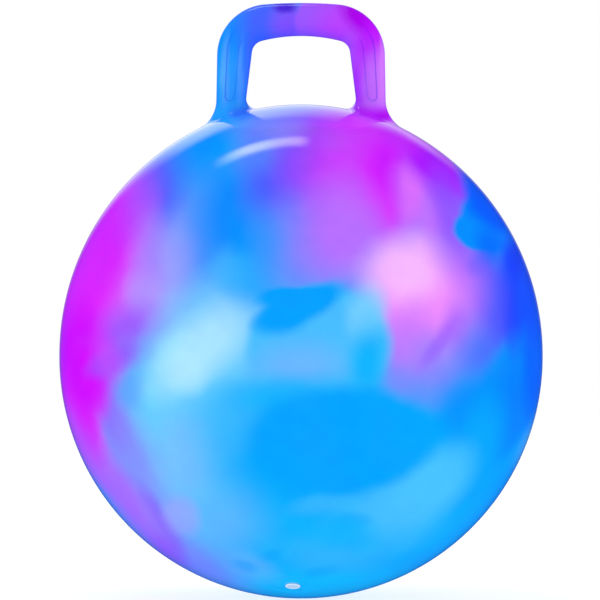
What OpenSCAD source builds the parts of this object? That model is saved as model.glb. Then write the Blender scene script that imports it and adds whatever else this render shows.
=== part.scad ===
// Hopper ball: a blown-up vinyl ball with a moulded loop handle and a plugged air valve.
// Sizes in millimetres. The ball rests on z = 0, with its axis on Z and its front towards -Y.

/* [Ball] */
// Diameter of the blown-up ball at its widest level
ball_d = 450; // [360:5:600]
// Height of the straight waist at the widest level
waist_h = 1.5; // [0.5:0.5:10]
// Height that the crown is drawn up above a true sphere
crown_rise = 8.2; // [0:0.1:20]
// Thickness of the vinyl skin
skin_wall = 1; // [0.8:0.1:3]
// Diameter of the flat that the ball settles on
base_flat_d = 42; // [24:1:80]
// Diameter of the air passage from the ball into each leg of the handle
air_passage_d = 21; // [8:0.5:23]

/* [Handle] */
// Height of the handle above the top of the ball
handle_h = 95; // [80:1:120]
// Width across the outsides of the legs, at the level of the ball's top
handle_w = 158; // [150:0.5:170]
// Width of the hand opening, at the level of the ball's top
opening_w = 103.5; // [96:0.5:108]
// Thickness of the bar from its top to its underside, at the middle
bar_t = 31; // [24:0.5:36]
// Depth of the handle from front to back
handle_depth = 30; // [26:0.5:36]
// Wall of the hollow handle
handle_wall = 2; // [1:0.1:2.5]
// Radius of the handle's outer corners
outer_corner_r = 48; // [30:1:52]
// Radius of the hand opening's upper corners
opening_corner_r = 12; // [6:0.5:20]
// Radius of the slight arch along the top of the bar
top_arch_r = 437; // [300:1:900]
// Radius of the arch along the underside of the bar
under_arch_r = 148; // [120:1:300]
// Degrees that the outside of a leg leans in
outer_lean = 1; // [0:0.1:2]
// Degrees that the inside of a leg leans in
opening_lean = 7.1; // [3:0.1:8]

/* [Handle feet] */
// Radius of the sweep from the outside of a leg into the ball
foot_outer_r = 31; // [20:1:36]
// Radius of the sweep at the front and back of a leg
foot_side_r = 16; // [8:1:24]
// Radius of the sweep inside the hand opening
foot_inner_r = 9.5; // [5:0.5:14]
// Gap of the moulding line between a foot and the ball
foot_seam = 0.1; // [0.1:0.05:0.5]

/* [Valve] */
// Degrees from straight down to the valve, towards the front
valve_tilt = 22.5; // [18:0.5:60]
// Degrees that the valve is turned to the left of the front
valve_turn = 5; // [-40:1:40]
// Diameter of the shallow round seat moulded round the valve
seat_d = 44; // [36:1:60]
// Depth of that seat
seat_depth = 0.3; // [0.1:0.05:0.5]
// Thickness of the pad behind the seat
pad_t = 6; // [4:0.5:9]
// Diameter of the sleeve's flange
flange_d = 13.5; // [12.5:0.1:18]
// Thickness of that flange
flange_t = 1.2; // [1.2:0.1:2]
// Outer diameter of the sleeve
sleeve_d = 9.4; // [8.6:0.1:10]
// Bore of the sleeve
sleeve_bore_d = 6; // [5:0.1:6.4]
// Height of the barb that holds the sleeve behind the pad
barb_h = 1.6; // [1:0.1:2.5]
// Distance that the barb stands out past the sleeve
barb_out = 0.8; // [0.5:0.1:1.5]
// Gap of the bond round the sleeve and behind the seat
bond_gap = 0.05; // [0.02:0.01:0.1]

/* [Plug] */
// Diameter of the plug's head
head_d = 8.6; // [7:0.1:9]
// Thickness of the plug's head
head_t = 0.8; // [0.6:0.05:0.9]
// Gap round the head in the recess of the flange
head_gap = 0.25; // [0.15:0.05:0.4]
// Running gap between the sealing rings and the bore
plug_gap = 0.05; // [0.02:0.01:0.1]
// Diameter of the stem between its sealing rings
stem_d = 5; // [3.6:0.1:5.2]
// Height of one sealing ring
seal_h = 1.2; // [0.8:0.1:1.6]
// Diameter of the stem's blunt tip
tip_d = 3.4; // [2.4:0.1:4]
// Length of the taper at the tip
tip_h = 2; // [1.5:0.1:3]

/* [Hidden] */
$fn = 180;

// The ball's outline has three arcs that run smoothly into each other: a quarter circle below the
// waist, a shoulder arc with its centre past the axis, and a crown arc on the axis.
ball_r = ball_d / 2;
shoulder_sweep = 60;
shoulder_shift = crown_rise / (1 + tan(shoulder_sweep) - 1 / cos(shoulder_sweep));
shoulder_r = ball_r + shoulder_shift;
crown_r = shoulder_r - shoulder_shift / cos(shoulder_sweep);
crown_centre_z = shoulder_shift * tan(shoulder_sweep);
crown_h = crown_centre_z + crown_r;
flat_rise = ball_r - sqrt(ball_r ^ 2 - (base_flat_d / 2) ^ 2);
// Heights of the lower arc's centre and of the widest level, which is the ball's centre here
lower_z = ball_r - flat_rise;
ball_z = lower_z + waist_h;
// How far a cutting shape runs past what it cuts
overrun = 2 * skin_wall;

// The handle, measured from the ball's centre
bar_top_z = crown_h + handle_h;
bar_under_z = bar_top_z - bar_t;
leg_x = (handle_w + opening_w) / 4;
leg_half_w = (handle_w - opening_w) / 4;
half_depth = handle_depth / 2;
// Points round the handle's section, and stations along its parts
ROUND = 24;
LEG_STEPS = 3;
CORNER_STEPS = 8;
ROOF_STEPS = 5;
FILLET_STEPS = 5;
BASE_STEPS = 5;
// Share of a foot's full sweep that is modelled, which leaves its rim a blunt edge
sweep_share = 0.88;
// Length of plain leg above the highest start of the sweep
foot_run = 2;

// The valve, measured outwards along its own axis from the lower arc's centre
seat_r = ball_r - seat_depth;
skin_inner_r = ball_r - skin_wall;
pad_bottom_z = skin_inner_r - pad_t;
flange_top_z = seat_r + flange_t;
head_recess_d = head_d + 2 * head_gap;
head_under_z = flange_top_z - head_t;
head_recess_z = head_under_z - plug_gap;
barb_z = pad_bottom_z - bond_gap;
sleeve_end_z = barb_z - barb_h;
seal_d = sleeve_bore_d - 2 * plug_gap;
pad_chamfer = pad_t / 3;
flange_edge = flange_t / 3;
stem_length = head_under_z - sleeve_end_z;

// Unit vector at an angle
function turn(a) = [cos(a), sin(a)];
function unit(v) = v / norm(v);
function mirrored(ring) = [for (p = ring) [-p.x, p.y, p.z]];

// A circle of radius r touches, on its n side, the line through p along u, and its centre lies at
// the distance reach from the point c. This is how far along the line it touches.
function touch(p, u, n, r, c, reach) =
    let (q = p + r * n - c)
    sqrt((q * u) ^ 2 - q * q + reach ^ 2) - q * u;

// x of the outside or the inside of a leg at the height z
function side_x(w, lean, z) = w / 2 - (z - crown_h) * tan(lean);

// Half of the handle's outline, or of its opening: up the leg, round the corner, along the arch
function half_outline(w, lean, corner_r, arch_r, top_z, foot_z) =
    let (
        p = [side_x(w, lean, foot_z), foot_z],
        u = [-sin(lean), cos(lean)],
        n = [-cos(lean), -sin(lean)],
        c = [0, top_z - arch_r],
        rise = touch(p, u, n, corner_r, c, arch_r - corner_r),
        f = p + corner_r * n + rise * u,
        bend_end = atan2(f.y - c.y, f.x - c.x)
    )
    concat(
        [for (i = [0 : LEG_STEPS - 1]) p + rise * i / LEG_STEPS * u],
        [for (i = [0 : CORNER_STEPS - 1]) f + corner_r * turn(lean + (bend_end - lean) * i / CORNER_STEPS)],
        [for (i = [0 : ROOF_STEPS]) c + arch_r * turn(bend_end + (90 - bend_end) * i / ROOF_STEPS)]
    );

// Ring of the oval section between an outer and an inner point of the outline, inset by wall
function section(outer, inner, wall) =
    let (
        m = (outer + inner) / 2,
        h = (outer - inner) / 2,
        inset = h - wall * unit(h)
    )
    [for (j = [0 : ROUND - 1])
        let (a = 360 * j / ROUND)
        [m.x + inset.x * cos(a), (half_depth - wall) * sin(a), m.y + inset.y * cos(a)]];

// Radius of the foot's sweep at an angle round the leg, where 0 is its outside
function sweep_r(a) =
    let (end_r = cos(a) > 0 ? foot_outer_r : foot_inner_r)
    foot_side_r + (end_r - foot_side_r) * cos(a) ^ 2;

// The foot's outline in the upright plane that stands square to the leg at an angle round it.
// It gives the leg's point s, the plane's direction d, the sweep's centre f, and its two ends.
function foot_plane(a) =
    let (
        s = [leg_x + leg_half_w * cos(a), half_depth * sin(a)],
        d = unit([half_depth * cos(a), leg_half_w * sin(a)]),
        aside = s.x * d.y - s.y * d.x,
        c = [-s * d, crown_centre_z],
        slope = -(tan(outer_lean) + tan(opening_lean)) / 2,
        widening = (tan(opening_lean) - tan(outer_lean)) / 2,
        lean = atan((slope + widening * cos(a)) * d.x),
        u = [sin(lean), cos(lean)],
        n = [cos(lean), -sin(lean)],
        p = [0, crown_h],
        r = sweep_r(a),
        rise = touch(p, u, n, r, c, sqrt(crown_r ^ 2 - aside ^ 2) + r),
        f = p + r * n + rise * u,
        start = 180 - lean,
        end = 360 + atan2(c.y - f.y, c.x - f.x)
    )
    [s, d, f, start, end];

// Column of points down a foot's sweep, from the leg to its rim
function foot_column(a) =
    let (k = foot_plane(a), r = sweep_r(a))
    [for (i = [0 : FILLET_STEPS])
        let (
            bend = k[3] + (k[4] - k[3]) * sweep_share * i / FILLET_STEPS,
            q = k[2] + r * turn(bend),
            xy = k[0] + q.x * k[1]
        )
        [xy.x, xy.y, q.y]];

// The point of the crown straight towards its centre from p, or straight below or above it
function seated(p) =
    let (c = [0, 0, crown_centre_z])
    c + (crown_r + foot_seam) * unit(p - c);
function dropped(p) = [p.x, p.y, crown_centre_z + sqrt((crown_r + foot_seam) ^ 2 - p.x ^ 2 - p.y ^ 2)];

columns = [for (j = [0 : ROUND - 1]) foot_column(360 * j / ROUND)];
foot_top_z = max([for (c = columns) c[0].z]) + foot_run;
outer_half = half_outline(handle_w, outer_lean, outer_corner_r, top_arch_r, bar_top_z, foot_top_z);
inner_half = half_outline(opening_w, opening_lean, opening_corner_r, under_arch_r, bar_under_z, foot_top_z);
stations = len(outer_half);

// Rings of the right half, from its foot to the middle of the bar, outside and inside
rim = [for (c = columns) seated(c[FILLET_STEPS])];
foot_rings = [for (i = [FILLET_STEPS : -1 : 0]) [for (c = columns) c[i]]];
outside = concat([rim], foot_rings, [for (i = [0 : stations - 1]) section(outer_half[i], inner_half[i], 0)]);
tube = [for (i = [0 : stations - 1]) section(outer_half[i], inner_half[i], handle_wall)];
mouth = [for (p = tube[0]) dropped(p)];
inside = concat([mouth], tube);
base = [for (i = [1 : BASE_STEPS - 1])
    [for (j = [0 : ROUND - 1]) seated(rim[j] + (mouth[j] - rim[j]) * i / BASE_STEPS)]];

// Items of a list in reverse, leaving out the last `skip` of them
function backwards(list, skip) = [for (i = [len(list) - 1 - skip : -1 : 0]) list[i]];

// One closed surface: over the outside, under one foot, back along the inside, under the other
rings = concat(
    [for (r = outside) mirrored(r)],
    backwards(outside, 1),
    base,
    inside,
    [for (r = backwards(inside, 1)) mirrored(r)],
    [for (r = backwards(base, 0)) mirrored(r)]
);

// The ball's half outline, inset by a wall
module ball_outline(inset) {
    joint_z = (shoulder_r - inset) * sin(shoulder_sweep);
    side = ball_r + overrun;
    translate([0, -waist_h]) intersection() {
        circle(r = ball_r - inset);
        translate([0, inset - lower_z]) square([side, lower_z - inset]);
    }
    translate([0, -waist_h]) square([ball_r - inset, waist_h]);
    intersection() {
        translate([-shoulder_shift, 0]) circle(r = shoulder_r - inset);
        square([side, joint_z]);
    }
    intersection() {
        translate([0, crown_centre_z]) circle(r = crown_r - inset);
        translate([0, joint_z]) square([side, side]);
    }
}

// Places its children with their Z along the valve's axis, from the lower arc's centre
module on_valve_axis() {
    translate([0, 0, lower_z]) rotate([0, 0, -valve_turn]) rotate([180 - valve_tilt, 0, 0]) children();
}

module ball_shell() {
    color("dodgerblue")
    difference() {
        translate([0, 0, ball_z]) rotate_extrude() difference() {
            ball_outline(0);
            ball_outline(skin_wall);
        }
        for (side = [-1, 1])
            translate([side * leg_x, 0, ball_z]) cylinder(h = crown_h + overrun, d = air_passage_d);
        on_valve_axis() {
            cylinder(h = ball_r + overrun, d = sleeve_d + 2 * bond_gap);
            difference() {
                cylinder(h = ball_r + overrun, d = seat_d);
                sphere(r = seat_r);
            }
        }
    }
}

module handle_loop() {
    count = len(rings);
    points = [for (r = rings) each r];
    faces = [for (i = [0 : count - 1], j = [0 : ROUND - 1])
        let (
            i2 = (i + 1) % count,
            j2 = (j + 1) % ROUND,
            a = i * ROUND + j,
            b = i * ROUND + j2,
            c = i2 * ROUND + j2,
            d = i2 * ROUND + j
        )
        each [[a, b, c], [a, c, d]]];
    color("mediumslateblue")
    translate([0, 0, ball_z]) polyhedron(points = points, faces = faces);
}

module valve_boss() {
    color("lightskyblue")
    on_valve_axis() difference() {
        intersection() {
            union() {
                translate([0, 0, pad_bottom_z + pad_chamfer]) cylinder(h = pad_t, d = seat_d);
                translate([0, 0, pad_bottom_z])
                    cylinder(h = pad_chamfer, d1 = seat_d - 2 * pad_chamfer, d2 = seat_d);
            }
            sphere(r = skin_inner_r - bond_gap);
        }
        translate([0, 0, pad_bottom_z - overrun])
            cylinder(h = pad_t + 2 * overrun, d = sleeve_d + 2 * bond_gap);
    }
}

module valve_sleeve() {
    color("white")
    on_valve_axis() difference() {
        union() {
            translate([0, 0, seat_r]) cylinder(h = flange_t - flange_edge, d = flange_d);
            translate([0, 0, flange_top_z - flange_edge])
                cylinder(h = flange_edge, d1 = flange_d, d2 = flange_d - 2 * flange_edge);
            translate([0, 0, sleeve_end_z]) cylinder(h = seat_r - sleeve_end_z, d = sleeve_d);
            translate([0, 0, sleeve_end_z])
                cylinder(h = barb_h, d1 = sleeve_d, d2 = sleeve_d + 2 * barb_out);
        }
        translate([0, 0, sleeve_end_z - overrun])
            cylinder(h = stem_length + 2 * overrun, d = sleeve_bore_d);
        translate([0, 0, head_recess_z]) cylinder(h = head_t + overrun, d = head_recess_d);
    }
}

module air_plug() {
    seal_tops = [stem_length / 4, stem_length / 2, stem_length * 3 / 4];
    color("gainsboro")
    on_valve_axis() {
        translate([0, 0, head_under_z]) cylinder(h = head_t, d = head_d);
        translate([0, 0, sleeve_end_z + tip_h]) cylinder(h = stem_length - tip_h, d = stem_d);
        translate([0, 0, sleeve_end_z]) cylinder(h = tip_h, d1 = tip_d, d2 = stem_d);
        for (top = seal_tops) translate([0, 0, head_under_z - top]) {
            cylinder(h = seal_h / 2, d1 = stem_d, d2 = seal_d);
            translate([0, 0, seal_h / 2]) cylinder(h = seal_h / 2, d1 = seal_d, d2 = stem_d);
        }
    }
}

ball_shell();
handle_loop();
valve_boss();
valve_sleeve();
air_plug();
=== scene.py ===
"""Looks of the hopper ball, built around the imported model. Metres, +Z up, front towards -Y."""

import math
from collections import namedtuple

import bmesh
import bpy
from mathutils import Matrix, Vector


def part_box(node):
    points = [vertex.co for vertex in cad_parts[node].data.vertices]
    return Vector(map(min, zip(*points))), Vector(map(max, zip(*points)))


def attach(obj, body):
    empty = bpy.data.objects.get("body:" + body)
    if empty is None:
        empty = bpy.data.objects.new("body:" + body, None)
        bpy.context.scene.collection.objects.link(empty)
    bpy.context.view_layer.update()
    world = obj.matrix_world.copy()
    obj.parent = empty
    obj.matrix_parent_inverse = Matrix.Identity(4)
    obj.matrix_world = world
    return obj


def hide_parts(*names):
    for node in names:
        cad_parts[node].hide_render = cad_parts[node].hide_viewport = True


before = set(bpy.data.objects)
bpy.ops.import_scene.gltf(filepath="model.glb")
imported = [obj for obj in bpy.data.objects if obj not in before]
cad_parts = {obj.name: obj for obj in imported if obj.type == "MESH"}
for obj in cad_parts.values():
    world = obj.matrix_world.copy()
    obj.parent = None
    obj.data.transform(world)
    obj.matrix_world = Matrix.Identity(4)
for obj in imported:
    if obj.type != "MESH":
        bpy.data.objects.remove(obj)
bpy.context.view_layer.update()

MM = 0.001

# Sizes of the ball, which repeat the part's own
shell_low, shell_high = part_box("ball_shell")
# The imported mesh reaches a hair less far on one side, and the skin stays inside it
BALL_R = min(-shell_low.x, shell_high.x)
CROWN_TOP = shell_high.z
BASE_FLAT_R = 21 * MM
WAIST_H = 1.5 * MM
SHOULDER_SWEEP = math.radians(60)
LOWER_Z = math.sqrt(BALL_R**2 - BASE_FLAT_R**2)
BALL_Z = LOWER_Z + WAIST_H
CROWN_H = CROWN_TOP - BALL_Z
SHOULDER_SHIFT = (CROWN_H - BALL_R) / (1 + math.tan(SHOULDER_SWEEP) - 1 / math.cos(SHOULDER_SWEEP))
SHOULDER_R = BALL_R + SHOULDER_SHIFT
CROWN_R = SHOULDER_R - SHOULDER_SHIFT / math.cos(SHOULDER_SWEEP)
CROWN_CENTRE = SHOULDER_SHIFT * math.tan(SHOULDER_SWEEP)

# Sizes of the handle, which repeat the part's own. Its heights are from the ball's widest level.
HANDLE_W = 158 * MM
OPENING_W = 103.5 * MM
BAR_T = 31 * MM
BAR_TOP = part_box("handle_loop")[1].z - BALL_Z
HALF_DEPTH = 15 * MM
OUTER_CORNER_R = 48 * MM
OPENING_CORNER_R = 12 * MM
TOP_ARCH_R = 437 * MM
UNDER_ARCH_R = 148 * MM
OUTER_LEAN = math.radians(1)
OPENING_LEAN = math.radians(7.1)
FOOT_OUTER_R = 31 * MM
FOOT_SIDE_R = 16 * MM
FOOT_INNER_R = 9.5 * MM
FOOT_RUN = 2 * MM
LEG_X = (HANDLE_W + OPENING_W) / 4
LEG_HALF_W = (HANDLE_W - OPENING_W) / 4

# Sizes of the valve, measured outwards along its axis from the lower arc's centre
VALVE_TILT = math.radians(22.5)
VALVE_TURN = math.radians(5)
SEAT_R = 22 * MM
SEAT_DEPTH = 0.3 * MM
SEAT_Z = BALL_R - SEAT_DEPTH
VALVE = (
    Matrix.Translation((0, 0, LOWER_Z))
    @ Matrix.Rotation(-VALVE_TURN, 4, "Z")
    @ Matrix.Rotation(math.pi - VALVE_TILT, 4, "X")
)


def smooth(low, high, value):
    """0 below low, 1 above high, and an even curve between them."""
    t = min(max((value - low) / (high - low), 0), 1)
    return t * t * (3 - 2 * t)


def turn(angle):
    return Vector((math.cos(angle), math.sin(angle)))


def shares(steps):
    """Steps + 1 even shares from 0 to 1."""
    return [i / steps for i in range(steps + 1)]


def new_piece(name, bm, body, replaced):
    """The bmesh as a smooth-shaded piece that rides a body and stands for a node."""
    bmesh.ops.recalc_face_normals(bm, faces=bm.faces)
    mesh = bpy.data.meshes.new(name)
    bm.to_mesh(mesh)
    bm.free()
    mesh.shade_smooth()
    piece = bpy.data.objects.new(name, mesh)
    bpy.context.scene.collection.objects.link(piece)
    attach(piece, body)
    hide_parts(replaced)
    return piece


def join_rings(bm, rings, closed):
    """Quads between neighbouring rings of vertices. Closed joins each ring's last point to its first."""
    for ring, following in zip(rings, rings[1:]):
        count = len(ring)
        for i in range(count if closed else count - 1):
            j = (i + 1) % count
            bm.faces.new((ring[i], ring[j], following[j], following[i]))


# Ball skin

LOWER_STEPS = 88
SHOULDER_STEPS = 60
CROWN_STEPS = 30
MERIDIANS = 240
SEAM_DEPTH = 0.22 * MM
# Angles from the mould's parting plane of the extra meridians that shape its fine groove
SEAM_LIPS = [math.radians(a) for a in (0.16, 0.34)]
# Reach of the finer mesh round the valve, and how much further its vertices are set right
VALVE_REFINED = 32 * MM
VALVE_MARGIN = 8 * MM
VALVE_CUTS = 7
VALVE_HOLE_R = 4.8 * MM


def ball_profile():
    """Radius and height of the ball's outline, from the edge of its flat to just below the crown's top."""
    start = math.acos(BASE_FLAT_R / BALL_R)
    lower = [
        Vector((0, LOWER_Z)) + BALL_R * turn(-start * (1 - t)) for t in shares(LOWER_STEPS)
    ]
    shoulder = [
        Vector((-SHOULDER_SHIFT, BALL_Z)) + SHOULDER_R * turn(SHOULDER_SWEEP * t)
        for t in shares(SHOULDER_STEPS)
    ]
    rest = math.pi / 2 - SHOULDER_SWEEP
    crown = [
        Vector((0, BALL_Z + CROWN_CENTRE)) + CROWN_R * turn(SHOULDER_SWEEP + rest * t)
        for t in shares(CROWN_STEPS)[1:-1]
    ]
    return lower + shoulder + crown


def meridian_angles():
    """Even angles round the axis, with close ones on each side of the parting plane."""
    even = [2 * math.pi * i / MERIDIANS for i in range(MERIDIANS)]
    lips = [side + sign * lip for side in (0, math.pi) for sign in (-1, 1) for lip in SEAM_LIPS]
    return sorted((a % (2 * math.pi)) for a in even + lips)


def seat_ball_vertex(vertex):
    """Moves a vertex near the valve to the ball's round surface, or down to the valve's seat."""
    lower_centre = Vector((0, 0, LOWER_Z))
    out = (vertex.co - lower_centre).normalized()
    local = VALVE.inverted() @ (lower_centre + out * BALL_R)
    edge = 0.5 * MM
    sunk = SEAT_DEPTH * (1 - smooth(SEAT_R - edge, SEAT_R + edge, local.xy.length))
    vertex.co = lower_centre + out * (BALL_R - sunk)


def build_ball_skin():
    bm = bmesh.new()
    angles = meridian_angles()
    seam = (0, math.pi)
    rings = []
    for r, z in ball_profile():
        rings.append([])
        for a in angles:
            depth = SEAM_DEPTH if any(abs(a - s) < 1e-6 for s in seam) else 0
            rings[-1].append(bm.verts.new(((r - depth) * math.cos(a), (r - depth) * math.sin(a), z)))
    join_rings(bm, rings, closed=True)
    for ring, z in ((rings[0], 0), (rings[-1], CROWN_TOP)):
        pole = bm.verts.new((0, 0, z))
        for i, vertex in enumerate(ring):
            bm.faces.new((vertex, ring[(i + 1) % len(ring)], pole))

    valve_point = VALVE @ Vector((0, 0, BALL_R))
    near = [f for f in bm.faces if (f.calc_center_median() - valve_point).length < VALVE_REFINED]
    edges = list({e for f in near for e in f.edges})
    bmesh.ops.subdivide_edges(bm, edges=edges, cuts=VALVE_CUTS, use_grid_fill=True)
    for vertex in bm.verts:
        if (vertex.co - valve_point).length < VALVE_REFINED + VALVE_MARGIN:
            seat_ball_vertex(vertex)
    inside = [
        f for f in bm.faces
        if (f.calc_center_median() - valve_point).length < VALVE_HOLE_R
    ]
    bmesh.ops.delete(bm, geom=inside, context="FACES")
    return new_piece("ball_skin", bm, "ball", "ball_shell")


# Handle skin

ROUND = 200
LEG_STEPS = 60
CORNER_STEPS = 48
ROOF_STEPS = 22
SWEEP_STEPS = 40
# Rings between a foot's sweep and its leg, which carry the lower ends of the panels
RUN_STEPS = 16
# Above 1, the leg's rings lie closer together towards its foot
LEG_CROWDING = 1.6
HANDLE_SEAM_DEPTH = 0.2 * MM
# Hidden run of each foot past the end of its sweep, a hair under the ball's skin
SKIRT_RUN = 1.5 * MM
SKIRT_DEPTH = 0.04 * MM
# The shallow panel down the front and back of each leg: its depth, its sides as shares of the
# leg's half width, its lower end, its edge, and where it fades out round the corner
PANEL_DEPTH = 0.8 * MM
PANEL_SIDE_SHARES = (-0.27, 0.44)
PANEL_END = CROWN_H + 2.5 * MM
PANEL_EDGE = 0.9 * MM
PANEL_FADE = (0.1, 0.6)
# Name of the mesh values that say how strong the painted shade along the panel's edge is at a point
EDGE_SHADE_LAYER = "panel_edge_shade"
# Share of each colour channel that the panel's edge keeps: painted shade standing in for the shadow in the
# panel's step
EDGE_SHADE_TINT = (0.55, 0.66, 0.94)


def touch(p, u, n, r, c, reach):
    """How far along the line from p along u a circle of radius r touches it on its side n, when
    the circle's centre lies at the distance reach from c."""
    q = p + r * n - c
    return math.sqrt(q.dot(u) ** 2 - q.dot(q) + reach**2) - q.dot(u)


def half_outline(width, lean, corner_r, arch_r, top, foot):
    """Points up a leg, round the corner and along the arch to the middle of the bar."""
    p = Vector((width / 2 - (foot - CROWN_H) * math.tan(lean), foot))
    u = Vector((-math.sin(lean), math.cos(lean)))
    n = Vector((-math.cos(lean), -math.sin(lean)))
    c = Vector((0, top - arch_r))
    rise = touch(p, u, n, corner_r, c, arch_r - corner_r)
    f = p + corner_r * n + rise * u
    bend_end = math.atan2(f.y - c.y, f.x - c.x)
    leg = [p + rise * t**LEG_CROWDING * u for t in shares(LEG_STEPS)[:-1]]
    corner = [f + corner_r * turn(lean + (bend_end - lean) * t) for t in shares(CORNER_STEPS)[:-1]]
    roof = [c + arch_r * turn(bend_end + (math.pi / 2 - bend_end) * t) for t in shares(ROOF_STEPS)]
    return leg + corner + roof


def sweep_radius(a):
    """Radius of the foot's sweep at an angle round the leg, where 0 is its outside."""
    end = FOOT_OUTER_R if math.cos(a) > 0 else FOOT_INNER_R
    return FOOT_SIDE_R + (end - FOOT_SIDE_R) * math.cos(a) ** 2


def foot_column(a):
    """Points down a foot's sweep at an angle round the leg, until it runs into the crown."""
    s = Vector((LEG_X + LEG_HALF_W * math.cos(a), HALF_DEPTH * math.sin(a)))
    d = Vector((HALF_DEPTH * math.cos(a), LEG_HALF_W * math.sin(a))).normalized()
    aside = s.x * d.y - s.y * d.x
    c = Vector((-s.dot(d), CROWN_CENTRE))
    slope = -(math.tan(OUTER_LEAN) + math.tan(OPENING_LEAN)) / 2
    widening = (math.tan(OPENING_LEAN) - math.tan(OUTER_LEAN)) / 2
    lean = math.atan((slope + widening * math.cos(a)) * d.x)
    u = Vector((math.sin(lean), math.cos(lean)))
    n = Vector((math.cos(lean), -math.sin(lean)))
    p = Vector((0, CROWN_H))
    r = sweep_radius(a)
    rise = touch(p, u, n, r, c, math.sqrt(CROWN_R**2 - aside**2) + r)
    f = p + r * n + rise * u
    start = math.pi - lean
    end = 2 * math.pi + math.atan2(c.y - f.y, c.x - f.x)
    column = []
    for t in shares(SWEEP_STEPS):
        q = f + r * turn(start + (end - start) * t)
        xy = s + q.x * d
        column.append(Vector((xy.x, xy.y, q.y)))
    crown_centre = Vector((0, 0, CROWN_CENTRE))
    along = (column[-1] - column[-2]).normalized()
    hidden = column[-1] + along * SKIRT_RUN - crown_centre
    column.append(crown_centre + hidden.normalized() * (CROWN_R - SKIRT_DEPTH))
    return column


def panel_share(a, half_w, height, along):
    """How deep a point of a leg is in the panel, as a share, and how strong the painted shade of the
    panel's edge is there.
    Along is the point's share of the way round the corner."""
    aside = half_w * math.cos(a)
    low, high = (half_w * share for share in PANEL_SIDE_SHARES)
    middle, reach = (low + high) / 2, (high - low) / 2
    # Distance inside a strip with a half-round lower end
    over_end = min(height - (PANEL_END + reach), 0)
    inside = reach - math.hypot(aside - middle, over_end)
    fade = 1 - smooth(*PANEL_FADE, along)
    edge = 1 - smooth(0, PANEL_EDGE, abs(inside - PANEL_EDGE / 2))
    return smooth(0, PANEL_EDGE, inside) * fade, edge * fade


def section(outer, inner, along):
    """Ring of the handle's oval section, with the parting groove and the legs' panels. Each point comes
    with how strong the painted shade of the panel's edge is there."""
    middle, half = (outer + inner) / 2, (outer - inner) / 2
    half_w = half.length
    ring = []
    for j in range(ROUND):
        a = 2 * math.pi * j / ROUND
        sunk, edge = panel_share(a, half_w, middle.y, along)
        groove = HANDLE_SEAM_DEPTH if j in (0, ROUND // 2) else 0
        across = half * (1 - groove / half_w) * math.cos(a)
        depth = (HALF_DEPTH - PANEL_DEPTH * sunk) * math.sin(a)
        ring.append((Vector((middle.x + across.x, depth, middle.y + across.y)), edge))
    return ring


def build_handle_skin():
    columns = [foot_column(2 * math.pi * j / ROUND) for j in range(ROUND)]
    foot_top = max(c[0].z for c in columns) + FOOT_RUN
    outer = half_outline(HANDLE_W, OUTER_LEAN, OUTER_CORNER_R, TOP_ARCH_R, BAR_TOP, foot_top)
    bar_under = BAR_TOP - BAR_T
    inner = half_outline(OPENING_W, OPENING_LEAN, OPENING_CORNER_R, UNDER_ARCH_R, bar_under, foot_top)
    middle, half = (outer[0] + inner[0]) / 2, (outer[0] - inner[0]) / 2
    for j, column in enumerate(columns):
        a = 2 * math.pi * j / ROUND
        start = Vector((middle.x + half.x * math.cos(a), HALF_DEPTH * math.sin(a), foot_top))
        column[:0] = [start.lerp(column[0], t) for t in shares(RUN_STEPS)[1:-1]]
    right = []
    for i in range(len(columns[0]) - 1, -1, -1):
        right.append([])
        for j, column in enumerate(columns):
            a = 2 * math.pi * j / ROUND
            sunk, edge = panel_share(a, LEG_HALF_W, column[i].z, 0)
            right[-1].append((column[i] - Vector((0, PANEL_DEPTH * sunk * math.sin(a), 0)), edge))
    for i, (o, n) in enumerate(zip(outer, inner)):
        right.append(section(o, n, max(i - LEG_STEPS, 0) / CORNER_STEPS))
    left = [[(Vector((-p.x, p.y, p.z)), edge) for p, edge in ring] for ring in right]
    bm = bmesh.new()
    # Painted shade along the panels' edges, carried to the material in a mesh value
    edge_shade_layer = bm.verts.layers.float.new(EDGE_SHADE_LAYER)
    lift = Vector((0, 0, BALL_Z))
    rings = []
    for ring in left + right[-2::-1]:
        rings.append([])
        for point, edge in ring:
            vertex = bm.verts.new(point + lift)
            vertex[edge_shade_layer] = edge
            rings[-1].append(vertex)
    join_rings(bm, rings, closed=True)
    return new_piece("handle_skin", bm, "ball", "handle_loop")


# Valve

LATHE_STEPS = 72


def lathe(name, outline, body, replaced):
    """A turned piece on the valve's axis. Outline is its radius and height in mm above the seat."""
    bm = bmesh.new()
    rings = []
    for r, z in outline:
        place = Vector((0, 0, SEAT_Z + z * MM))
        rings.append([
            bm.verts.new(VALVE @ (place + (turn(2 * math.pi * i / LATHE_STEPS) * r * MM).to_3d()))
            for i in range(LATHE_STEPS)
        ])
    join_rings(bm, rings, closed=True)
    bmesh.ops.remove_doubles(bm, verts=bm.verts, dist=1e-7)
    return new_piece(name, bm, body, replaced)


def arc(r, z, radius, start, end, steps):
    """Points of an arc about r, z, in degrees."""
    return [(r + radius * math.cos(math.radians(a)), z + radius * math.sin(math.radians(a)))
            for a in (start + (end - start) * t for t in shares(steps))]


def build_sleeve():
    """Flange with rounded edges and a recess for the plug's head, a bore, and a barb inside."""
    outline = (
        [(4.7, 0), (6.75, 0)]
        + arc(6.3, 0.75, 0.45, 0, 90, 6)
        + arc(4.85, 1.0, 0.2, 90, 180, 4)
        + arc(4.5, 0.5, 0.15, 0, -90, 3)
        + [(3.2, 0.35), (3.0, 0.2), (3.0, -8.35), (4.7, -8.35), (5.5, -6.75), (4.7, -6.75), (4.7, 0)]
    )
    return lathe("sleeve_insert", outline, "ball", "valve_sleeve")


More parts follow.
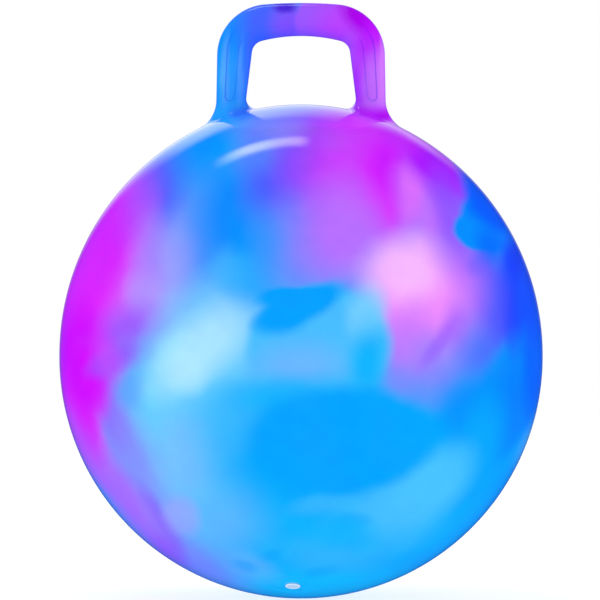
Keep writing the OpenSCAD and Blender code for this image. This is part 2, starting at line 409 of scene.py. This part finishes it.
def build_plug():
    """Round-edged head with a dished middle, and a stem with three sealing rings and a taper."""
    outline = [(0, 0.95), (2.0, 0.97), (2.6, 1.08)] + arc(4.0, 0.9, 0.3, 90, 0, 5)
    outline += [(4.3, 0.42), (2.5, 0.4)]
    for middle in (-1.6, -3.8, -6.0):
        outline += [(2.5, middle + 0.6)] + arc(2.45, middle, 0.5, 80, -80, 8) + [(2.5, middle - 0.6)]
    outline += [(2.5, -6.75)] + arc(1.4, -8.0, 0.35, 0, -90, 4) + [(0, -8.35)]
    return lathe("plug_body", outline, "plug", "air_plug")


# Colours of the marbled vinyl, as 8-bit screen values

COLOURS = {
    "azure": (0, 158, 255),
    "deep_azure": (0, 135, 255),
    "bright_azure": (12, 174, 255),
    "light_azure": (10, 195, 255),
    "sky": (70, 185, 255),
    "pale_sky": (120, 205, 255),
    "pale_blue": (172, 224, 255),
    "cobalt": (0, 92, 250),
    "royal": (25, 60, 240),
    "cornflower": (85, 140, 255),
    "soft_blue": (120, 175, 255),
    "indigo": (80, 85, 255),
    "periwinkle": (125, 130, 255),
    "soft_periwinkle": (155, 155, 255),
    "violet": (135, 75, 255),
    "lilac": (185, 110, 255),
    "soft_lilac": (205, 130, 252),
    "purple": (168, 20, 252),
    "magenta": (212, 40, 254),
    "hot_magenta": (196, 0, 254),
    "rose": (228, 135, 250),
    "pale_pink": (242, 182, 252),
    "plum": (170, 0, 232),
    "vivid_purple": (182, 15, 250),
    "orchid": (188, 68, 252),
    "soft_orchid": (198, 118, 252),
    "light_orchid": (216, 105, 250),
    "bright_violet": (158, 88, 253),
    "amethyst": (162, 98, 254),
    "deep_cornflower": (50, 103, 252),
    "ink": (70, 30, 215),
}
BASE_COLOUR = "azure"

# The photograph's frame: metres to a pixel, and the pixel of the ball's axis at its widest level
PIXEL = 0.932 * MM
AXIS_X_PX = 301
WIDEST_Y_PX = 355

IMAGE_PX = 600
CAMERA_DISTANCE = 4
CAMERA_PLACE = Vector((
    (IMAGE_PX / 2 - AXIS_X_PX) * PIXEL,
    -CAMERA_DISTANCE,
    BALL_Z + (WIDEST_Y_PX - IMAGE_PX / 2) * PIXEL,
))

# A cloud of colour: the pixel of its middle, its half sizes in pixels, the degrees that its long
# side rises to the right, its colour, its strength, and the share of its size that its edge takes
Cloud = namedtuple("Cloud", "x y half_w half_h rise colour strength edge")
# Half size of a cloud from front to back: on the ball it is at least this length, and at least
# this share of the larger of its other half sizes
LEAST_CLOUD_DEPTH = 90 * MM
CLOUD_DEPTH_SHARE = 1.2
HANDLE_CLOUD_DEPTH = 60 * MM

BALL_CLOUDS = [
    # Blues below
    Cloud(300, 560, 220, 75, 0, "bright_azure", 0.9, 0.5),
    # Partly the vinyl's lighter tone, partly painted light that lifts the shade on the underside
    Cloud(300, 588, 140, 18, 0, "light_azure", 0.8, 0.7),
    Cloud(262, 460, 40, 90, 0, "bright_azure", 0.7, 0.7),
    Cloud(192, 515, 58, 46, 0, "soft_blue", 0.6, 0.7),
    # Left side, from the shoulder to the rim below
    Cloud(170, 255, 60, 85, 0, "cornflower", 0.9, 0.6),
    Cloud(156, 280, 30, 62, 0, "soft_periwinkle", 0.9, 0.7),
    Cloud(155, 190, 28, 50, -10, "indigo", 0.9, 0.6),
    Cloud(126, 270, 32, 92, 0, "lilac", 1.0, 0.5),
    Cloud(90, 265, 46, 125, -12, "magenta", 1.0, 0.45),
    Cloud(142, 205, 16, 36, -25, "violet", 0.5, 0.8),
    Cloud(106, 258, 24, 50, -14, "vivid_purple", 0.4, 0.8),
    Cloud(152, 250, 16, 30, 0, "periwinkle", 0.4, 0.8),
    Cloud(142, 296, 14, 20, 0, "soft_periwinkle", 0.5, 0.8),
    Cloud(122, 345, 46, 30, 25, "violet", 0.8, 0.6),
    Cloud(78, 372, 36, 70, 0, "hot_magenta", 1.0, 0.5),
    Cloud(202, 402, 96, 60, 38, "sky", 1.0, 0.2),
    Cloud(165, 450, 62, 85, 5, "sky", 1.0, 0.5),
    Cloud(160, 436, 38, 50, 10, "pale_sky", 0.4, 0.7),
    Cloud(128, 460, 28, 90, 22, "periwinkle", 0.9, 0.6),
    Cloud(132, 390, 13, 16, 0, "cornflower", 0.6, 0.8),
    Cloud(150, 352, 12, 14, 20, "cornflower", 0.4, 0.8),
    Cloud(182, 465, 28, 44, 0, "soft_blue", 0.6, 0.8),
    Cloud(185, 557, 60, 22, -32, "periwinkle", 0.8, 0.7),
    Cloud(163, 522, 8, 34, 32, "violet", 0.6, 0.7),
    Cloud(182, 517, 17, 20, 20, "soft_periwinkle", 0.6, 0.5),
    Cloud(248, 566, 26, 12, -25, "soft_blue", 0.4, 0.8),
    Cloud(166, 548, 22, 10, -40, "violet", 0.7, 0.7),
    Cloud(104, 400, 15, 44, 22, "violet", 0.5, 0.7),
    Cloud(88, 378, 20, 36, 10, "hot_magenta", 0.8, 0.6),
    Cloud(82, 425, 17, 52, 20, "magenta", 1.0, 0.6),
    Cloud(114, 484, 16, 80, 36, "amethyst", 0.9, 0.7),
    Cloud(108, 372, 14, 18, 10, "purple", 0.4, 0.8),
    Cloud(82, 378, 20, 38, 10, "hot_magenta", 1.0, 0.7),
    Cloud(89, 434, 10, 26, 22, "hot_magenta", 0.5, 0.7),
    Cloud(112, 362, 26, 12, 25, "violet", 0.7, 0.6),
    Cloud(108, 358, 12, 18, 20, "orchid", 0.5, 0.8),
    # Pale blue cloud
    Cloud(214, 332, 72, 46, 40, "pale_sky", 0.7, 0.5),
    Cloud(200, 348, 55, 24, 42, "pale_blue", 0.8, 0.7),
    Cloud(188, 376, 16, 16, 0, "pale_blue", 0.5, 0.7),
    # Azure towards the crown
    Cloud(232, 218, 30, 52, 0, "deep_azure", 0.9, 0.7),
    Cloud(232, 268, 18, 18, 0, "sky", 0.6, 0.8),
    Cloud(254, 240, 18, 28, 10, "deep_azure", 0.8, 0.8),
    Cloud(258, 278, 26, 26, 0, "azure", 0.8, 0.7),
    Cloud(246, 268, 16, 14, 0, "sky", 0.4, 0.8),
    Cloud(200, 150, 22, 40, -30, "deep_azure", 0.5, 0.7),
    # Purple and magenta from the crown down to the pink cloud
    Cloud(274, 172, 28, 66, 0, "indigo", 0.9, 0.7),
    Cloud(270, 128, 30, 26, 0, "periwinkle", 0.7, 0.8),
    # Partly the vinyl's own tone, partly a painted highlight: the soft halo round the overhead highlight
    Cloud(260, 156, 26, 16, 15, "cornflower", 0.6, 0.8),
    Cloud(306, 165, 28, 62, 0, "violet", 0.9, 0.6),
    Cloud(325, 122, 35, 20, 0, "purple", 0.6, 0.7),
    # Partly the vinyl's own tone, partly a painted highlight: the soft halo above the overhead highlight
    Cloud(288, 130, 20, 12, 0, "soft_periwinkle", 0.4, 0.8),
    Cloud(302, 245, 36, 42, 0, "periwinkle", 0.9, 0.7),
    Cloud(260, 244, 22, 30, 8, "azure", 0.6, 0.8),
    Cloud(360, 175, 48, 75, 0, "magenta", 0.9, 0.6),
    Cloud(375, 128, 50, 26, 0, "magenta", 0.9, 0.6),
    Cloud(388, 180, 28, 62, 0, "magenta", 1.0, 0.5),
    Cloud(388, 166, 14, 26, 0, "hot_magenta", 0.6, 0.8),
    Cloud(342, 232, 34, 50, 0, "lilac", 0.9, 0.7),
    Cloud(428, 208, 26, 46, 12, "lilac", 1.0, 0.7),
    Cloud(414, 180, 11, 40, -8, "light_orchid", 0.8, 0.6),
    Cloud(434, 166, 24, 55, 42, "purple", 1.0, 0.5),
    Cloud(402, 142, 18, 18, 0, "magenta", 0.6, 0.8),
    # Painted reflection: a pale streak along the right shoulder's rim
    Cloud(420, 141, 46, 6, -38, "light_orchid", 0.8, 0.9),
    Cloud(452, 215, 16, 42, 15, "violet", 0.8, 0.7),
    # Right side under the patch, and the pale pink cloud
    Cloud(484, 305, 50, 62, 0, "indigo", 1.0, 0.5),
    Cloud(462, 285, 22, 45, 0, "lilac", 0.7, 0.7),
    Cloud(420, 372, 42, 34, 0, "periwinkle", 1.0, 0.3),
    Cloud(428, 398, 20, 14, 0, "cornflower", 0.7, 0.8),
    Cloud(452, 352, 34, 36, -25, "periwinkle", 0.8, 0.6),
    Cloud(418, 296, 46, 54, 0, "rose", 1.0, 0.45),
    Cloud(404, 270, 36, 28, 15, "pale_pink", 0.9, 0.7),
    Cloud(412, 340, 28, 26, 0, "lilac", 0.7, 0.7),
    Cloud(456, 326, 12, 22, 0, "violet", 0.5, 0.8),
    Cloud(452, 248, 18, 30, 0, "violet", 0.4, 0.8),
    Cloud(432, 354, 22, 18, -20, "periwinkle", 0.5, 0.8),
    Cloud(437, 345, 7, 24, -37, "violet", 0.5, 0.7),
    # Right edge, with its sharp patch
    Cloud(522, 290, 22, 62, -10, "royal", 0.9, 0.6),
    Cloud(534, 345, 22, 60, 0, "cobalt", 0.8, 0.6),
    Cloud(482, 358, 18, 24, -35, "deep_cornflower", 0.7, 0.8),
    Cloud(512, 396, 42, 84, -38, "deep_azure", 1.0, 0.25),
    Cloud(514, 398, 26, 48, -30, "cobalt", 0.4, 0.8),
    Cloud(464, 405, 28, 30, -20, "deep_azure", 0.9, 0.6),
    Cloud(478, 450, 24, 50, -15, "azure", 0.9, 0.6),
    Cloud(472, 186, 12, 20, 30, "indigo", 0.9, 0.7),
    Cloud(488, 222, 32, 32, 0, "deep_azure", 1.0, 0.15),
    Cloud(473, 234, 22, 15, -28, "deep_azure", 1.0, 0.2),
    Cloud(489, 204, 35, 30, -35, "cobalt", 1.0, 0.3),
    Cloud(490, 238, 14, 16, 0, "cobalt", 0.5, 0.7),
    Cloud(473, 206, 10, 14, 25, "cobalt", 0.5, 0.8),
    Cloud(478, 266, 10, 10, 0, "indigo", 0.4, 0.8),
    Cloud(488, 252, 12, 12, 0, "cobalt", 0.5, 0.8),
    Cloud(512, 256, 12, 26, -15, "royal", 0.9, 0.7),
    Cloud(514, 330, 9, 24, 0, "royal", 0.5, 0.7),
    Cloud(534, 360, 12, 52, 0, "cobalt", 0.8, 0.6),
    Cloud(530, 312, 12, 36, -8, "royal", 0.4, 0.8),
    # Azure below, with the pale cloud beside it
    Cloud(330, 445, 105, 60, 0, "azure", 0.8, 0.5),
    Cloud(430, 486, 48, 27, 36, "sky", 0.9, 0.5),
    Cloud(392, 506, 56, 24, 18, "sky", 0.8, 0.6),
    Cloud(408, 526, 36, 20, 30, "sky", 0.5, 0.7),
    Cloud(322, 504, 26, 8, 10, "sky", 0.5, 0.8),
    Cloud(350, 523, 18, 9, 0, "azure", 0.6, 0.6),
    Cloud(330, 556, 44, 16, -8, "sky", 0.4, 0.8),
    Cloud(344, 532, 26, 16, 0, "bright_azure", 0.8, 0.7),
    Cloud(244, 566, 12, 5, -20, "azure", 0.5, 0.7),
    Cloud(272, 556, 10, 5, 15, "azure", 0.4, 0.7),
    Cloud(322, 572, 16, 5, 10, "azure", 0.4, 0.7),
    # Blue field in the middle: sharp against the pink, with an azure wedge along its top
    Cloud(318, 347, 68, 57, 0, "sky", 1.0, 0.12),
    Cloud(366, 314, 17, 26, -10, "pale_sky", 0.8, 0.6),
    Cloud(300, 366, 38, 20, 0, "soft_blue", 0.6, 0.9),
    Cloud(300, 396, 60, 18, 0, "bright_azure", 0.9, 0.7),
    Cloud(368, 364, 16, 32, -5, "bright_azure", 1.0, 0.8),
    Cloud(298, 305, 44, 15, 20, "azure", 1.0, 0.3),
    Cloud(290, 297, 32, 10, 0, "azure", 1.0, 0.3),
    Cloud(283, 317, 28, 14, 15, "azure", 0.9, 0.5),
    Cloud(345, 440, 90, 50, 0, "azure", 1.0, 0.18),
    # Painted shade under the handle's feet, darker where they flow into the crown
    Cloud(244, 114, 13, 9, 0, "deep_cornflower", 0.9, 0.6),
    Cloud(372, 113, 20, 9, -8, "vivid_purple", 1.0, 0.5),
    Cloud(383, 113, 7, 6, 0, "plum", 0.8, 0.6),
]
HANDLE_CLOUDS = [
    Cloud(232, 50, 42, 75, 0, "deep_azure", 1.0, 0.4),
    Cloud(232, 84, 14, 34, 0, "sky", 0.4, 0.6),
    # Painted reflections: two thin pale strips down the left leg, beside its panel, where the side lights
    # reflect
    Cloud(226, 72, 4, 36, -3, "soft_blue", 0.3, 0.6),
    Cloud(241, 72, 3, 32, -5, "soft_blue", 0.3, 0.6),
    Cloud(250, 68, 6, 36, -6, "indigo", 0.4, 0.7),
    Cloud(268, 20, 26, 28, 0, "indigo", 0.8, 0.8),
    Cloud(292, 26, 18, 24, 0, "violet", 0.9, 0.7),
    Cloud(322, 22, 26, 28, 0, "bright_violet", 1.0, 0.12),
    Cloud(342, 28, 24, 24, 0, "orchid", 1.0, 0.7),
    Cloud(368, 70, 24, 60, 0, "orchid", 1.0, 0.4),
    Cloud(366, 14, 28, 20, -38, "plum", 1.0, 0.4),
    Cloud(371, 36, 12, 20, -30, "vivid_purple", 0.7, 0.6),
    Cloud(374, 88, 12, 30, 0, "soft_orchid", 0.8, 0.6),
    Cloud(357, 90, 4, 22, 5, "vivid_purple", 0.4, 0.6),
    # Painted reflection: a thin pale strip down the right leg, where a side light reflects
    Cloud(381, 68, 3, 32, 1, "soft_orchid", 0.7, 0.6),
    Cloud(285, 9, 11, 6, 0, "ink", 0.9, 0.55),
]
# The back isn't in the photograph: more of the same, in another arrangement
BACK_CLOUDS = [
    Cloud(300, 480, 170, 110, 10, "bright_azure", 0.9, 0.5),
    Cloud(190, 300, 120, 110, 20, "periwinkle", 0.9, 0.6),
    Cloud(150, 260, 80, 120, 10, "magenta", 0.9, 0.6),
    Cloud(110, 420, 50, 80, 20, "lilac", 0.8, 0.7),
    Cloud(400, 200, 110, 60, -20, "violet", 0.9, 0.6),
    Cloud(330, 150, 90, 45, 10, "magenta", 0.9, 0.6),
    Cloud(250, 130, 50, 50, 0, "cornflower", 0.8, 0.6),
    Cloud(480, 300, 60, 110, -15, "cobalt", 0.9, 0.6),
    Cloud(340, 320, 80, 46, 30, "pale_sky", 0.9, 0.5),
    Cloud(355, 330, 50, 24, 35, "pale_blue", 0.9, 0.6),
    Cloud(250, 360, 60, 34, -25, "sky", 0.9, 0.4),
    Cloud(235, 245, 50, 60, 15, "soft_lilac", 0.9, 0.5),
    Cloud(225, 235, 34, 30, 0, "pale_pink", 0.9, 0.6),
    Cloud(310, 250, 40, 24, 20, "azure", 1.0, 0.3),
    Cloud(400, 420, 70, 40, 20, "deep_azure", 0.9, 0.5),
    Cloud(210, 480, 60, 30, 25, "soft_blue", 0.9, 0.5),
    Cloud(430, 360, 20, 60, -30, "indigo", 0.8, 0.6),
    Cloud(500, 375, 34, 60, -25, "indigo", 0.8, 0.6),
    Cloud(522, 440, 42, 38, 20, "pale_sky", 0.8, 0.6),
    Cloud(478, 510, 40, 30, 30, "deep_azure", 0.9, 0.6),
    Cloud(70, 330, 40, 60, 10, "soft_blue", 0.8, 0.6),
    Cloud(85, 300, 34, 30, 20, "pale_sky", 0.8, 0.6),
]


def linear(channel):
    """A screen value from 0 to 255 as linear light."""
    c = channel / 255
    return c / 12.92 if c <= 0.04045 else ((c + 0.055) / 1.055) ** 2.4


def linear_colour(name):
    return (*(linear(c) for c in COLOURS[name]), 1)


class Nodes:
    """Short calls to build a node tree."""

    def __init__(self, tree):
        self.tree = tree
        tree.nodes.clear()

    def add(self, kind, inputs=(), **settings):
        node = self.tree.nodes.new(kind)
        for key, value in settings.items():
            setattr(node, key, value)
        for key, value in dict(inputs).items():
            if isinstance(value, bpy.types.NodeSocket):
                self.tree.links.new(value, node.inputs[key])
            else:
                node.inputs[key].default_value = value
        return node

    def math(self, operation, a, b=0.0):
        return self.add("ShaderNodeMath", {0: a, 1: b}, operation=operation).outputs[0]

    def vector(self, operation, a, b=(0, 0, 0)):
        return self.add("ShaderNodeVectorMath", {0: a, 1: b}, operation=operation)

    def noise(self, vector, scale, detail=2.0, roughness=0.5):
        return self.add(
            "ShaderNodeTexNoise",
            {"Vector": vector, "Scale": scale, "Detail": detail, "Roughness": roughness},
        )

    def ramp(self, value, low, high, to_low=0.0, to_high=1.0):
        return self.add(
            "ShaderNodeMapRange",
            {0: value, 1: low, 2: high, 3: to_low, 4: to_high},
            interpolation_type="SMOOTHSTEP",
        ).outputs[0]

    def mix(self, factor, a, b):
        node = self.add("ShaderNodeMix", data_type="RGBA")
        for socket, value in ((node.inputs[0], factor), (node.inputs[6], a), (node.inputs[7], b)):
            if isinstance(value, bpy.types.NodeSocket):
                self.tree.links.new(value, socket)
            else:
                socket.default_value = value
        return node.outputs[2]


def new_material(name):
    material = bpy.data.materials.new(name)
    material.use_nodes = True
    return material, Nodes(material.node_tree)


def cloud_centre(cloud, side):
    """Where a cloud's middle lies: on the ball's front (side -1) or back (1), or in the handle (0)."""
    x = (cloud.x - AXIS_X_PX) * PIXEL
    z = (WIDEST_Y_PX - cloud.y) * PIXEL
    aimed = Vector((x, 0, BALL_Z + z))
    if side == 0:
        return aimed
    # First point of the ball on the camera's line through the pixel
    line = (aimed - CAMERA_PLACE).normalized()
    start = CAMERA_PLACE - Vector((0, 0, BALL_Z))
    past = start.dot(line)
    reach = math.sqrt(max(past**2 - start.length_squared + BALL_R**2, 0))
    point = CAMERA_PLACE - line * (past + reach)
    point.y *= -side
    return point


def add_cloud(nodes, place, colour, cloud, side):
    """Colour with the cloud laid over it."""
    half_w, half_h = cloud.half_w * PIXEL, cloud.half_h * PIXEL
    on_ball = max(LEAST_CLOUD_DEPTH, CLOUD_DEPTH_SHARE * max(half_w, half_h))
    depth = on_ball if side else HANDLE_CLOUD_DEPTH
    reach = 1 + cloud.edge
    ball = nodes.add("ShaderNodeTexGradient", {"Vector": place}, gradient_type="SPHERICAL")
    mapping = ball.texture_mapping
    mapping.vector_type = "TEXTURE"
    mapping.translation = cloud_centre(cloud, side)
    mapping.rotation = (0, -math.radians(cloud.rise), 0)
    mapping.scale = (reach * half_w, reach * depth, reach * half_h)
    # The gradient falls from 1 in the middle to 0 at the cloud's reach
    share = nodes.ramp(ball.outputs["Fac"], 0, 2 * cloud.edge / reach, 0, cloud.strength)
    return nodes.mix(share, colour, linear_colour(cloud.colour))


def marbled_vinyl():
    """Glossy vinyl with clouds of colour that run into each other."""
    material, nodes = new_material("marbled_vinyl")
    place = nodes.add("ShaderNodeTexCoord").outputs["Object"]
    stirred = place
    for scale, reach in ((9, 4 * MM), (30, 3 * MM)):
        noise = nodes.noise(place, scale).outputs["Color"]
        centred = nodes.vector("SUBTRACT", noise, (0.5, 0.5, 0.5)).outputs[0]
        shift = nodes.add("ShaderNodeVectorMath", {0: centred, "Scale": 2 * reach}, operation="SCALE")
        stirred = nodes.vector("ADD", stirred, shift.outputs[0]).outputs[0]
    colour = linear_colour(BASE_COLOUR)
    for clouds, side in ((BACK_CLOUDS, 1), (BALL_CLOUDS, -1)):
        for cloud in clouds:
            colour = add_cloud(nodes, stirred, colour, cloud, side)
    handle = colour
    for cloud in HANDLE_CLOUDS:
        handle = add_cloud(nodes, stirred, handle, cloud, 0)
    height = nodes.add("ShaderNodeSeparateXYZ", {0: place}).outputs["Z"]
    on_handle = nodes.ramp(height, CROWN_TOP - 12 * MM, CROWN_TOP + 4 * MM)
    colour = nodes.mix(on_handle, colour, handle)

    mottle = nodes.noise(place, 60, detail=3).outputs[0]
    shade = nodes.ramp(mottle, 0.3, 0.7, 0.96, 1.0)
    colour = nodes.vector("MULTIPLY", colour, shade).outputs[0]
    # Painted shade: the edges of the legs' panels are darkened in the colour, standing in for the shadow
    # in their step
    edge = nodes.add("ShaderNodeAttribute", attribute_name=EDGE_SHADE_LAYER).outputs["Fac"]
    darker = nodes.vector("MULTIPLY", colour, EDGE_SHADE_TINT).outputs[0]
    colour = nodes.mix(edge, colour, darker)
    roughness = nodes.ramp(nodes.noise(place, 25, detail=3).outputs[0], 0.3, 0.7, 0.06, 0.1)
    peel = nodes.noise(place, 420, detail=2).outputs[0]
    bump = nodes.add("ShaderNodeBump", {"Height": peel, "Strength": 0.05, "Distance": 0.1 * MM})
    shader = nodes.add(
        "ShaderNodeBsdfPrincipled",
        {
            "Base Color": colour,
            "Roughness": roughness,
            "IOR": 1.4,
            "Normal": bump.outputs[0],
        },
    )
    nodes.add("ShaderNodeOutputMaterial", {0: shader.outputs[0]})
    return material


def white_plastic(name, tint_with_bounce_light, roughness):
    """Satin moulded plastic with a faint grain. Its tint holds painted light: a blue cast standing in for
    light thrown back from the ball.
    """
    material, nodes = new_material(name)
    place = nodes.add("ShaderNodeTexCoord").outputs["Object"]
    cloudy = nodes.ramp(nodes.noise(place, 260, detail=3).outputs[0], 0.3, 0.7)
    darker = tuple(0.93 * c for c in tint_with_bounce_light)
    colour = nodes.mix(cloudy, (*darker, 1), (*tint_with_bounce_light, 1))
    grain = nodes.noise(place, 2600, detail=2).outputs[0]
    bump = nodes.add("ShaderNodeBump", {"Height": grain, "Strength": 0.1, "Distance": 0.05 * MM})
    rough = nodes.ramp(grain, 0.3, 0.7, roughness - 0.05, roughness + 0.05)
    shader = nodes.add(
        "ShaderNodeBsdfPrincipled",
        {"Base Color": colour, "Roughness": rough, "IOR": 1.5, "Normal": bump.outputs[0]},
    )
    nodes.add("ShaderNodeOutputMaterial", {0: shader.outputs[0]})
    return material


# Studio

FLOOR_SIZE = 12
# Strength of the floor's own light on the ball's underside, and to the camera
FLOOR_GLOW = 0.86
FLOOR_WHITE = 0.76
# Strength of the even light all round
WORLD_LIGHT = 0.89
# What the gloss reflects where there is no softbox: the dim studio, and the backdrop behind the ball
STUDIO_GLOSS = (0.02, 0.03, 0.3, 1)
BACKDROP_GLOSS = (0.5, 0.5, 0.7, 1)
SENSOR_W = 36


def build_world():
    """White to the camera, an even soft light on the object, and a dim studio in its gloss with a
    brighter backdrop behind it."""
    world = bpy.data.worlds.new("studio")
    bpy.context.scene.world = world
    world.use_nodes = True
    nodes = Nodes(world.node_tree)
    path = nodes.add("ShaderNodeLightPath").outputs
    light = nodes.add("ShaderNodeBackground", {0: (1, 1, 1, 1), 1: WORLD_LIGHT})
    white = nodes.add("ShaderNodeBackground", {0: (1, 1, 1, 1), 1: 1.0})
    way = nodes.add("ShaderNodeTexCoord").outputs["Generated"]
    _, back, up = nodes.add("ShaderNodeSeparateXYZ", {0: way}).outputs
    on_backdrop = nodes.math("MULTIPLY", nodes.ramp(back, 0.95, 0.995), nodes.ramp(up, -0.1, 0.25))
    gloss = nodes.mix(on_backdrop, STUDIO_GLOSS, BACKDROP_GLOSS)
    dim = nodes.add("ShaderNodeBackground", {0: gloss, 1: 1.0})
    seen = nodes.math("MAXIMUM", path["Is Camera Ray"], path["Is Transmission Ray"])
    behind = nodes.add("ShaderNodeMixShader", {0: seen, 1: light.outputs[0], 2: white.outputs[0]})
    both = nodes.add(
        "ShaderNodeMixShader", {0: path["Is Glossy Ray"], 1: behind.outputs[0], 2: dim.outputs[0]}
    )
    nodes.add("ShaderNodeOutputWorld", {0: both.outputs[0]})


def build_floor():
    """Pale floor that keeps the ball's shadow and is clear from below."""
    bm = bmesh.new()
    bmesh.ops.create_grid(bm, x_segments=1, y_segments=1, size=FLOOR_SIZE / 2)
    mesh = bpy.data.meshes.new("floor")
    bm.to_mesh(mesh)
    bm.free()
    floor = bpy.data.objects.new("floor", mesh)
    bpy.context.scene.collection.objects.link(floor)
    material, nodes = new_material("pale_floor")
    lit = nodes.add("ShaderNodeBsdfDiffuse", {0: (0.3, 0.3, 0.31, 1)})
    path = nodes.add("ShaderNodeLightPath").outputs
    strength = nodes.ramp(path["Is Camera Ray"], 0, 1, FLOOR_GLOW, FLOOR_WHITE)
    glow = nodes.add("ShaderNodeEmission", {0: (1, 1, 1, 1), 1: strength})
    pale = nodes.add("ShaderNodeAddShader", {0: lit.outputs[0], 1: glow.outputs[0]})
    below = nodes.add("ShaderNodeNewGeometry").outputs["Backfacing"]
    clear = nodes.add("ShaderNodeBsdfTransparent")
    either = nodes.add("ShaderNodeMixShader", {0: below, 1: pale.outputs[0], 2: clear.outputs[0]})
    nodes.add("ShaderNodeOutputMaterial", {0: either.outputs[0]})
    mesh.materials.append(material)
    floor.visible_glossy = False


def fade_face(lamp, ends, sides, last=1.0):
    """Fades a lamp's face out towards its edges, over shares of its length at its left and right end
    and of its width at its lower and upper side. Along its length it dims to the last share."""
    lamp.use_nodes = True
    nodes = Nodes(lamp.node_tree)
    place = nodes.add("ShaderNodeNewGeometry").outputs["Parametric"]
    along, across = nodes.add("ShaderNodeSeparateXYZ", {0: place}).outputs[:2]
    left, right = ends
    lower, upper = sides
    share = nodes.math("MULTIPLY", nodes.ramp(along, 0, left), nodes.ramp(along, 0.2, 0.9, 1, last))
    for value, low, high in ((along, 1, 1 - right), (across, 1, 1 - lower), (across, 0, upper)):
        share = nodes.math("MULTIPLY", share, nodes.ramp(value, low, high))
    glow = nodes.add("ShaderNodeEmission", {"Strength": share})
    nodes.add("ShaderNodeOutputLight", {0: glow.outputs[0]})


def add_softbox(name, place, turned, size, strength, glossy=True):
    """A soft rectangular lamp that faces down until it is turned, in degrees. Its strength is the
    brightness of its face, where 1 is white, and the gloss may leave it out."""
    lamp = bpy.data.lights.new(name, "AREA")
    lamp.shape = "RECTANGLE"
    lamp.size, lamp.size_y = size
    lamp.energy = strength * size[0] * size[1] * math.pi
    box = bpy.data.objects.new(name, lamp)
    box.location = place
    box.rotation_euler = [math.radians(a) for a in turned]
    box.visible_camera = False
    box.visible_glossy = glossy
    bpy.context.scene.collection.objects.link(box)
    return lamp


def build_lamps():
    """The gloss shows the panel behind along the shoulders and the crown, and the overhead box as
    the highlight."""
    behind = add_softbox("back_panel", (-0.2, 3, 2.1), (-90, -24, 0), (3.05, 2.6), 1.1)
    fade_face(behind, ends=(0.3, 0.57), sides=(0.19, 0.36))
    overhead = add_softbox("overhead_box", (-0.55, 0.81, 2.6), (0, 0, 0), (1.4, 0.54), 8)
    fade_face(overhead, ends=(0.5, 0.14), sides=(0.42, 0.42), last=0.5)
    add_softbox("front_fill", (0, -3, 0.35), (90, 0, 0), (2.4, 0.6), 1.5, glossy=False)
    for side in (-1, 1):
        add_softbox("side_fill", (3 * side, 0.6, 0.8), (0, 90 * side, 0), (1.6, 2.4), 3.0, glossy=False)


def build_camera():
    """Level, straight at the front, framed as the photograph is."""
    data = bpy.data.cameras.new("camera")
    data.sensor_width = SENSOR_W
    data.lens = SENSOR_W * CAMERA_DISTANCE / (IMAGE_PX * PIXEL)
    data.clip_end = 50
    camera = bpy.data.objects.new("camera", data)
    camera.location = CAMERA_PLACE
    camera.rotation_euler = (math.pi / 2, 0, 0)
    bpy.context.scene.collection.objects.link(camera)
    bpy.context.scene.camera = camera


build_camera()
vinyl = marbled_vinyl()
build_ball_skin().data.materials.append(vinyl)
build_handle_skin().data.materials.append(vinyl)
# Painted light: the sleeve's bluish tint stands in for blue light thrown back from the ball
build_sleeve().data.materials.append(white_plastic("sleeve_white", (0.72, 0.85, 0.95), 0.35))
# Painted light and shade: the plug's darker blue tint stands in for blue light from the ball and the shade
# on its head in the flange's recess
build_plug().data.materials.append(white_plastic("plug_white", (0.52, 0.7, 0.88), 0.4))
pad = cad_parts["valve_boss"]
pad.data.materials.clear()
pad.data.materials.append(vinyl)
build_world()
build_floor()
build_lamps()
bpy.context.scene.view_settings.view_transform = "Standard"
